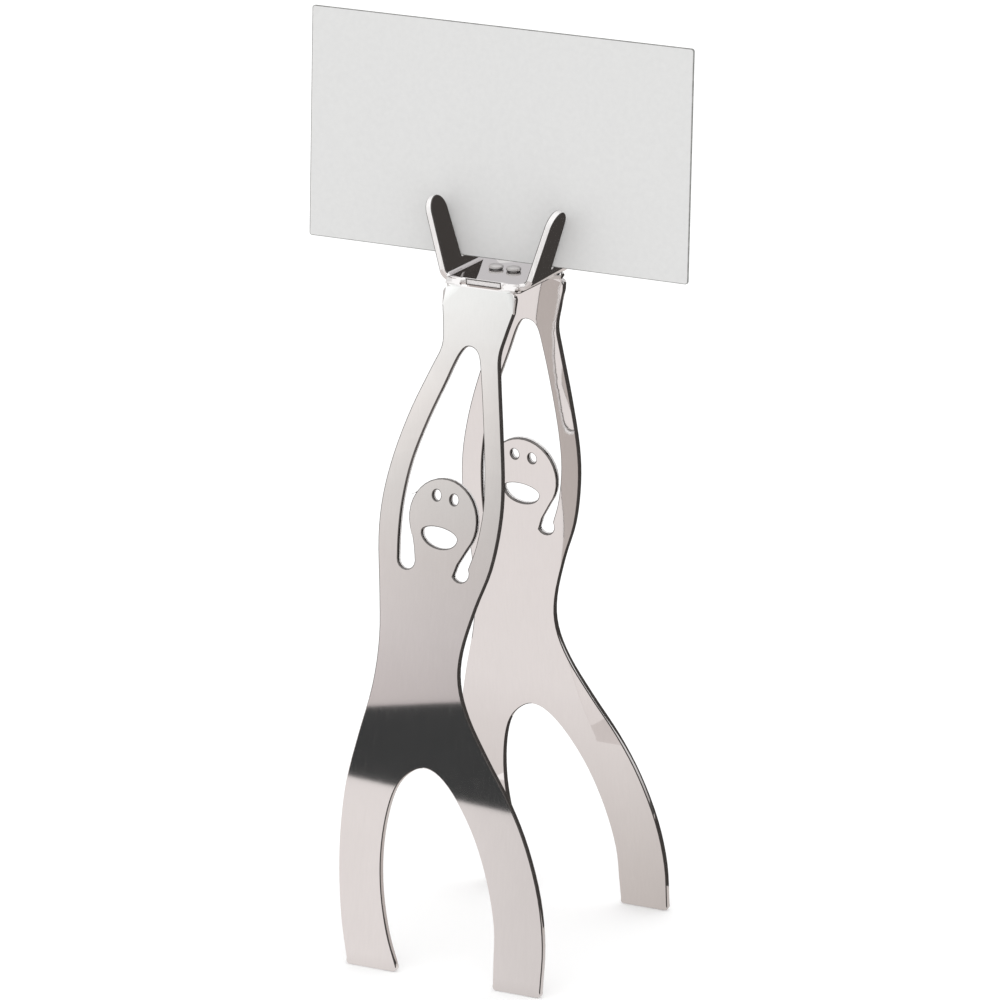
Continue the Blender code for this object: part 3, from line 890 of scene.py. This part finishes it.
floor_tones = glowing("floor_in_mirror", (
    (-0.050, (0.867, 0.822, 0.808)), (0.030, (0.620, 0.575, 0.550))), "Y")
fall_off(floor_tones, (1, -0.5, 0), (0.002, 1.0), (0.0405, 0.86))
floor_ends = (-MIRROR_FLOOR, MIRROR_FLOOR)
reflection_board(
    "mirror_floor_board", lying([(x, y) for y in floor_ends for x in floor_ends], -MIRROR_FLOOR_DROP),
    floor_tones)
light_pool_tones = glowing("floor_light_pool", (
    (-0.030, (0.935, 0.897, 0.883)), (-0.011, (1.010, 0.974, 0.960))), "Y")
reflection_board("floor_light_pool_board", lying(LIGHT_POOL_CORNERS, LIGHT_POOL_LIFT), light_pool_tones)

# %% [markdown]
# From the camera the front figure reflects what stands low and to its left. The broad dark band
# over its hips is the front edge of the table, seen in the steel. A low dark strip stands for it,
# a little higher at its right end, and a light wall behind it gives the gradient from warm grey
# at the hips to white at the hands. The wall is brighter at its left end.

# %% Boards in front
STRIP_LEFT = Vector((-0.191, -0.352, 0))
STRIP_RIGHT = Vector((-0.135, -0.333, 0))
STRIP_RISES = (0.0180, 0.0287)
STRIP_ENDS = (-1.2, 2.4)
WALL_ENDS = (-5, 2.4)
WALL_BEHIND = Vector((0.0128, -0.0379, 0))
WALL_HEIGHT = 0.30
DARK = (0.048, 0.0495, 0.050)


def along_strip(share, rise):
    """A point above the strip's foot, at a share of the way from its left end to its right end."""
    return STRIP_LEFT.lerp(STRIP_RIGHT, share) + Vector((0, 0, rise))


def strip_rise(share):
    """The strip's height at a share of its length."""
    return STRIP_RISES[0] + (STRIP_RISES[1] - STRIP_RISES[0]) * share


strip_foot = [along_strip(end, 0) for end in STRIP_ENDS]
strip_top = [along_strip(end, strip_rise(end)) for end in STRIP_ENDS]
reflection_board("table_edge_board", strip_foot + strip_top, one_tone("dark_board", DARK))
wall_tones = glowing("light_wall", (
    (0.0, (0.466, 0.423, 0.412)), (0.020, (0.548, 0.507, 0.502)), (0.036, (0.604, 0.568, 0.562)),
    (0.056, (0.625, 0.592, 0.577)), (0.075, (0.665, 0.648, 0.632)), (0.125, (0.800, 0.778, 0.759)),
    (0.20, (0.931, 0.960, 0.952))))
fall_off(wall_tones, (1, 0, 0), (-0.265, 1.4), (-0.065, 0.6))
reflection_board("light_wall_board", [
    along_strip(end, height) + WALL_BEHIND for height in (0, WALL_HEIGHT) for end in WALL_ENDS], wall_tones)

# %% [markdown]
# Behind and to the right everything is dark. The cut edges on the right look down at a dark cloth
# on the floor, and the inner faces of the forks look straight at a black flag. The top plate looks
# up to the left at a grey card. Each board is only as large as those reflections need.

# %% Boards behind
WARM_DARK = (0.055, 0.050, 0.047)
GREY = (0.606, 0.592, 0.602)
CLOTH_CORNERS = ((-0.030, 0.072), (0.060, 0.030), (0.100, 0.46), (0.340, 0.46))
CLOTH_LIFT = 0.0005
FLAG = upright((0.06, 0.46), (0.34, 0.46), 0.0, 0.46)
GREY_CARD = upright((-0.45, 0.40), (0.055, 0.47), 0.22, 0.56)

warm_dark_tone = one_tone("warm_dark_board", WARM_DARK)
reflection_board("dark_cloth_board", lying(CLOTH_CORNERS, CLOTH_LIFT), warm_dark_tone)
reflection_board("black_flag_board", FLAG, warm_dark_tone)
reflection_board("grey_card_board", GREY_CARD, one_tone("grey_board", GREY))

# %% [markdown]
# For every other view the object stands in a round tent of pale cloth with a dark hem. Without it
# the steel would mirror plain white and lose its shape. The tent is a tube with open ends, and its
# tones rise from the hem to the open top.

# %% Tent
TENT_RADIUS = 0.70
TENT_HEIGHT = 0.60
TENT_SIDES = 96

bpy.ops.object.select_all(action="DESELECT")
bpy.ops.mesh.primitive_cylinder_add(
    vertices=TENT_SIDES, radius=TENT_RADIUS, depth=TENT_HEIGHT, end_fill_type="NOTHING",
    location=(0, 0, TENT_HEIGHT / 2))
tent = bpy.context.object
tent.name = "pale_tent"
bpy.ops.object.transform_apply(location=True, rotation=True, scale=True)
bpy.ops.object.shade_smooth()
only_in_mirrors(tent, glowing("pale_cloth", (
    (0.0, (0.085, 0.085, 0.085)), (0.034, (0.11, 0.105, 0.10)), (0.040, (0.46, 0.435, 0.425)),
    (0.12, (0.64, 0.625, 0.62)), (0.28, (0.82, 0.815, 0.81)), (0.60, (1.0, 1.0, 1.0)))))

# %% [markdown]
# The light itself comes evenly from all around, as in a light tent. That is a white world, strong
# enough to wash out the floor. The Standard view transform shows tones as they are, so white stays
# white and the card keeps its grey white.

# %% World
WORLD_STRENGTH = 1.15

bpy.context.scene.view_settings.view_transform = "Standard"
world = bpy.data.worlds.new("white_studio")
bpy.context.scene.world = world
world.use_nodes = True
world.node_tree.nodes["Background"].inputs["Color"].default_value = (1, 1, 1, 1)
world.node_tree.nodes["Background"].inputs["Strength"].default_value = WORLD_STRENGTH
print("world strength", WORLD_STRENGTH)

# %% [markdown]
# Last the size of the dressed object is printed, as the box that it fills. The dressed
# object has to fill the same box as the construction.

# %% Sizes
low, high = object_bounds()
print("visual box in mm:", [round(1000 * side, 1) for side in high - low])
